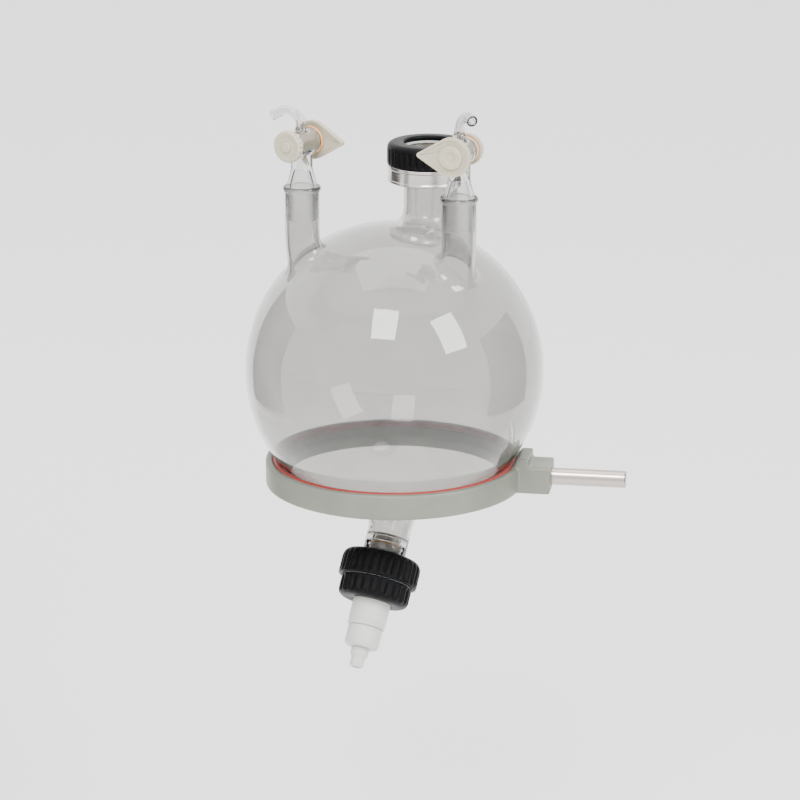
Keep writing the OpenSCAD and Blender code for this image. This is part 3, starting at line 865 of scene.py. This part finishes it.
# %% Black union nut and handwheel
def union_nut():
    bm = turned((
        (27.6, 45.5), (31, 45.5), (34, 46.4), (36.2, 48.6), (37.5, 51.6), (37.9, 55), (37.9, 59),
        (37.9, 64), (37.9, 68.4), (37.6, 70.2), (36.8, 71), (33, 71), (33, 48.5), (27.6, 48.5)),
        corner=0.9, segments=240)
    flute(bm, 30, 1.7 * MM, 34.6 * MM, 47.6 * MM, 70.4 * MM, run_out=5 * MM, sharpness=4)
    return bm


def handwheel():
    bm = turned((
        (24.3, 71.4), (33.4, 71.4), (33.9, 72), (33.9, 74), (33.9, 77), (33.9, 82), (33.9, 85.6),
        (32.8, 88.6), (30, 90.6), (26.4, 91.5), (20, 91.5), (18.06, 90.6), (18.06, 84),
        (24.3, 84)),
        corner=0.8, segments=192)
    flute(bm, 24, 1.7 * MM, 30.4 * MM, 72 * MM, 89.6 * MM, run_out=4 * MM, sharpness=4)
    return bm


finished("union_nut_black", union_nut(), ON_DRAIN, moulded_black, "drain_nut",
         "drain_union_nut")
finished("handwheel_black", handwheel(), ON_DRAIN, moulded_black, "handwheel",
         "drain_handwheel")

# %% [markdown]
# The white pieces are PTFE bar, turned and bored. The spindle is hollow, because the liquid runs
# down through it: its tip closes the seat in the neck, and its far end takes the adapter and the
# nozzle.


# %% White spindle, adapter and nozzle
def spindle():
    return turned((
        (5.5, 29), (9.5, 27), (11.5, 29), (11.5, 35.2), (15, 35.2), (15, 41), (12, 41.6),
        (12, 73.3), (17.2, 73.3), (18, 74), (18, 110.6), (17.4, 111.2), (17.4, 112.4), (18, 113),
        (18, 115.2), (17, 116), (10.5, 116), (10.5, 104), (5.5, 104)), corner=0.4, segments=96)


def adapter():
    return turned((
        (5.5, 104), (10.5, 104), (10.5, 115.6), (15.4, 116), (16.5, 117), (16.5, 132.6),
        (15.2, 135), (13.4, 136), (7.5, 136), (7.5, 126), (5.5, 126)), corner=0.5, segments=96)


def nozzle():
    return turned((
        (4, 126), (7.5, 126), (7.5, 136), (8.5, 136), (8.5, 143), (6.5, 146), (6.5, 154),
        (5.6, 155), (4, 155)), corner=0.4, segments=72)


for name, shape, node in (("spindle_white", spindle, "drain_spindle"),
                          ("adapter_white", adapter, "outlet_adapter"),
                          ("nozzle_white", nozzle, "hose_nozzle")):
    finished(name, shape(), ON_DRAIN, turned_ptfe, "spindle", node)

# %% [markdown]
# ## Support
# The ring is a sand casting: its corners are soft, and the boss and the lug flow into the ring.
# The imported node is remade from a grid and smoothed, like the stopcocks. The gasket is a plain
# cord of red silicone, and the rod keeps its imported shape.

# %% Ring, gasket and the carried-over pieces
melted("ring_casting", "support_ring", 1.1 * MM, 6, ring_paint, "support", crease=50)
cord_r = (gasket_high.z - gasket_low.z) / 2
cord_path = (gasket_high.x - gasket_low.x) / 2 - cord_r
cord_height = (gasket_high.z + gasket_low.z) / 2 - globe.z
gasket = o_ring(cord_path, cord_height, cord_r, segments=160, steps=20)
finished("gasket_red", gasket, ON_GLOBE, silicone_red, "support", "ring_gasket")

# %% [markdown]
# The rod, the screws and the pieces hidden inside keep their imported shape. Each takes the finish
# of its material slot, and is shaded smooth with its sharp edges kept.

# %% Finishes for the carried-over pieces
FINISH_OF_SLOT = {"ptfe_white": turned_ptfe, "rod_steel": rod_steel, "screw_steel": plain_steel,
                  "seal_black": black_rubber, "ring_orange": orange_silicone,
                  "plug_cream": cream_ptfe}
slot_of_node = {s["node"]: s["material_slot"] for s in frame["record"]["subparts"]}
carried = [name for name in nodes if slot_of_node[name] in FINISH_OF_SLOT]
for name in carried:
    node = nodes[name]
    for slot in node.material_slots:
        slot.material = FINISH_OF_SLOT[slot_of_node[name]]
    node.data.shade_smooth()
    node.data.set_sharp_from_angle(angle=radians(30))
print("finish by slot:", len(carried), "packed nodes")

# %% [markdown]
# ## Floor and surround
# The floor is a plain pale sheet well below the funnel, because the rod holds it in the air.
# Clear glass shows only what is round it, so a bright plain surround gives it something to
# refract, and two dark flags out of view give it thin dark outlines.


# %% Stage
FLOOR_DROP = 0.30        # metres below the lowest part
FLOOR_HALF, FLAG_HALF = 14.0, 0.5
FLAG_ASIDE, FLAG_BEHIND = 1.15, 0.35
SURROUND = 2.3           # the strength of the white surround


def matt(name, colour, roughness):
    """A plain finish for what is staged round the object."""
    material, _, shader = new_finish(name)
    shader.inputs["Base Color"].default_value = (*colour, 1)
    shader.inputs["Roughness"].default_value = roughness
    return material


def staged_sheet(name, half, matrix, material):
    bm = bmesh.new()
    bmesh.ops.create_grid(bm, x_segments=1, y_segments=1, size=half, matrix=matrix)
    sheet = object_from(name, bm)
    sheet.data.materials.append(material)


floor_height = cad_box[0][2] - FLOOR_DROP
staged_sheet("floor", FLOOR_HALF, Matrix.Translation((globe.x, globe.y, floor_height)),
             matt("pale_floor", (0.90, 0.90, 0.90), 0.6))
flag_cloth = matt("flag_cloth", (0.03, 0.03, 0.03), 0.9)
for name, aside in (("flag_left", -FLAG_ASIDE), ("flag_right", FLAG_ASIDE)):
    upright = (Matrix.Translation((globe.x + aside, globe.y + FLAG_BEHIND, globe.z))
               @ Matrix.Rotation(pi / 2, 4, "Y"))
    staged_sheet(name, FLAG_HALF, upright, flag_cloth)

world = bpy.data.worlds.new("surround")
world.use_nodes = True
background = world.node_tree.nodes["Background"]
background.inputs["Color"].default_value = (1.0, 1.0, 1.0, 1)
background.inputs["Strength"].default_value = SURROUND
bpy.context.scene.world = world
print("floor at", round(floor_height / MM), "mm")

# %% [markdown]
# ## Camera
# A long lens from a few metres away keeps upright pieces parallel, as in a catalogue picture. It
# looks a little down, so that the ring shows as an ellipse. The camera's own axes are worked out
# first, because the lights are placed by them too.

# %% Camera
AZIMUTH, ELEVATION = radians(9), radians(16.5)
DISTANCE = 3.2
VIEW_WIDTH = 752 * MM                 # what the view takes in at the globe
AIM_RIGHT, AIM_DOWN = 5.17 * MM, 29.14 * MM   # from the globe's centre to the aim
SENSOR = 36.0
toward = Vector((sin(AZIMUTH) * cos(ELEVATION), -cos(AZIMUTH) * cos(ELEVATION), sin(ELEVATION)))
right = UP.cross(toward).normalized()
above = toward.cross(right)
eye = globe + right * AIM_RIGHT - above * AIM_DOWN + toward * DISTANCE
camera_data = bpy.data.cameras.new("camera")
camera_data.sensor_width = SENSOR
camera_data.lens = SENSOR * DISTANCE / VIEW_WIDTH
camera = bpy.data.objects.new("camera", camera_data)
axes = Matrix((right, above, toward)).transposed().to_4x4()
camera.matrix_world = Matrix.Translation(eye) @ axes
bpy.context.scene.collection.objects.link(camera)
bpy.context.scene.camera = camera
print("lens, mm:", round(camera_data.lens, 1))

# %% [markdown]
# ## Light
# Two tall soft boxes on the camera's side stand for windows, and each leaves its shape on the
# globe. A large weak one overhead lifts the tops of the black nuts and the rim of the ring.


# %% Soft boxes
def soft_box(name, across, up, near, distance, width, height, power):
    """A rectangular light that faces the globe, placed by its direction as the camera sees it."""
    way = (right * across + above * up + toward * near).normalized()
    data = bpy.data.lights.new(name, "AREA")
    data.shape = "RECTANGLE"
    data.size, data.size_y = width, height
    data.energy = power
    lamp = bpy.data.objects.new(name, data)
    side = UP.cross(way).normalized()
    lamp.matrix_world = (Matrix.Translation(globe + way * distance)
                         @ Matrix((side, way.cross(side), way)).transposed().to_4x4())
    bpy.context.scene.collection.objects.link(lamp)
    print(f"{name}: {power} W at {distance} m")


soft_box("window_left", -0.12, 0.54, 0.835, 2.0, 0.62, 0.80, 36)
soft_box("window_right", 0.64, 0.41, 0.645, 2.0, 0.66, 0.90, 36)
soft_box("overhead", 0.0, 1.0, 0.1, 2.6, 2.0, 2.0, 30)
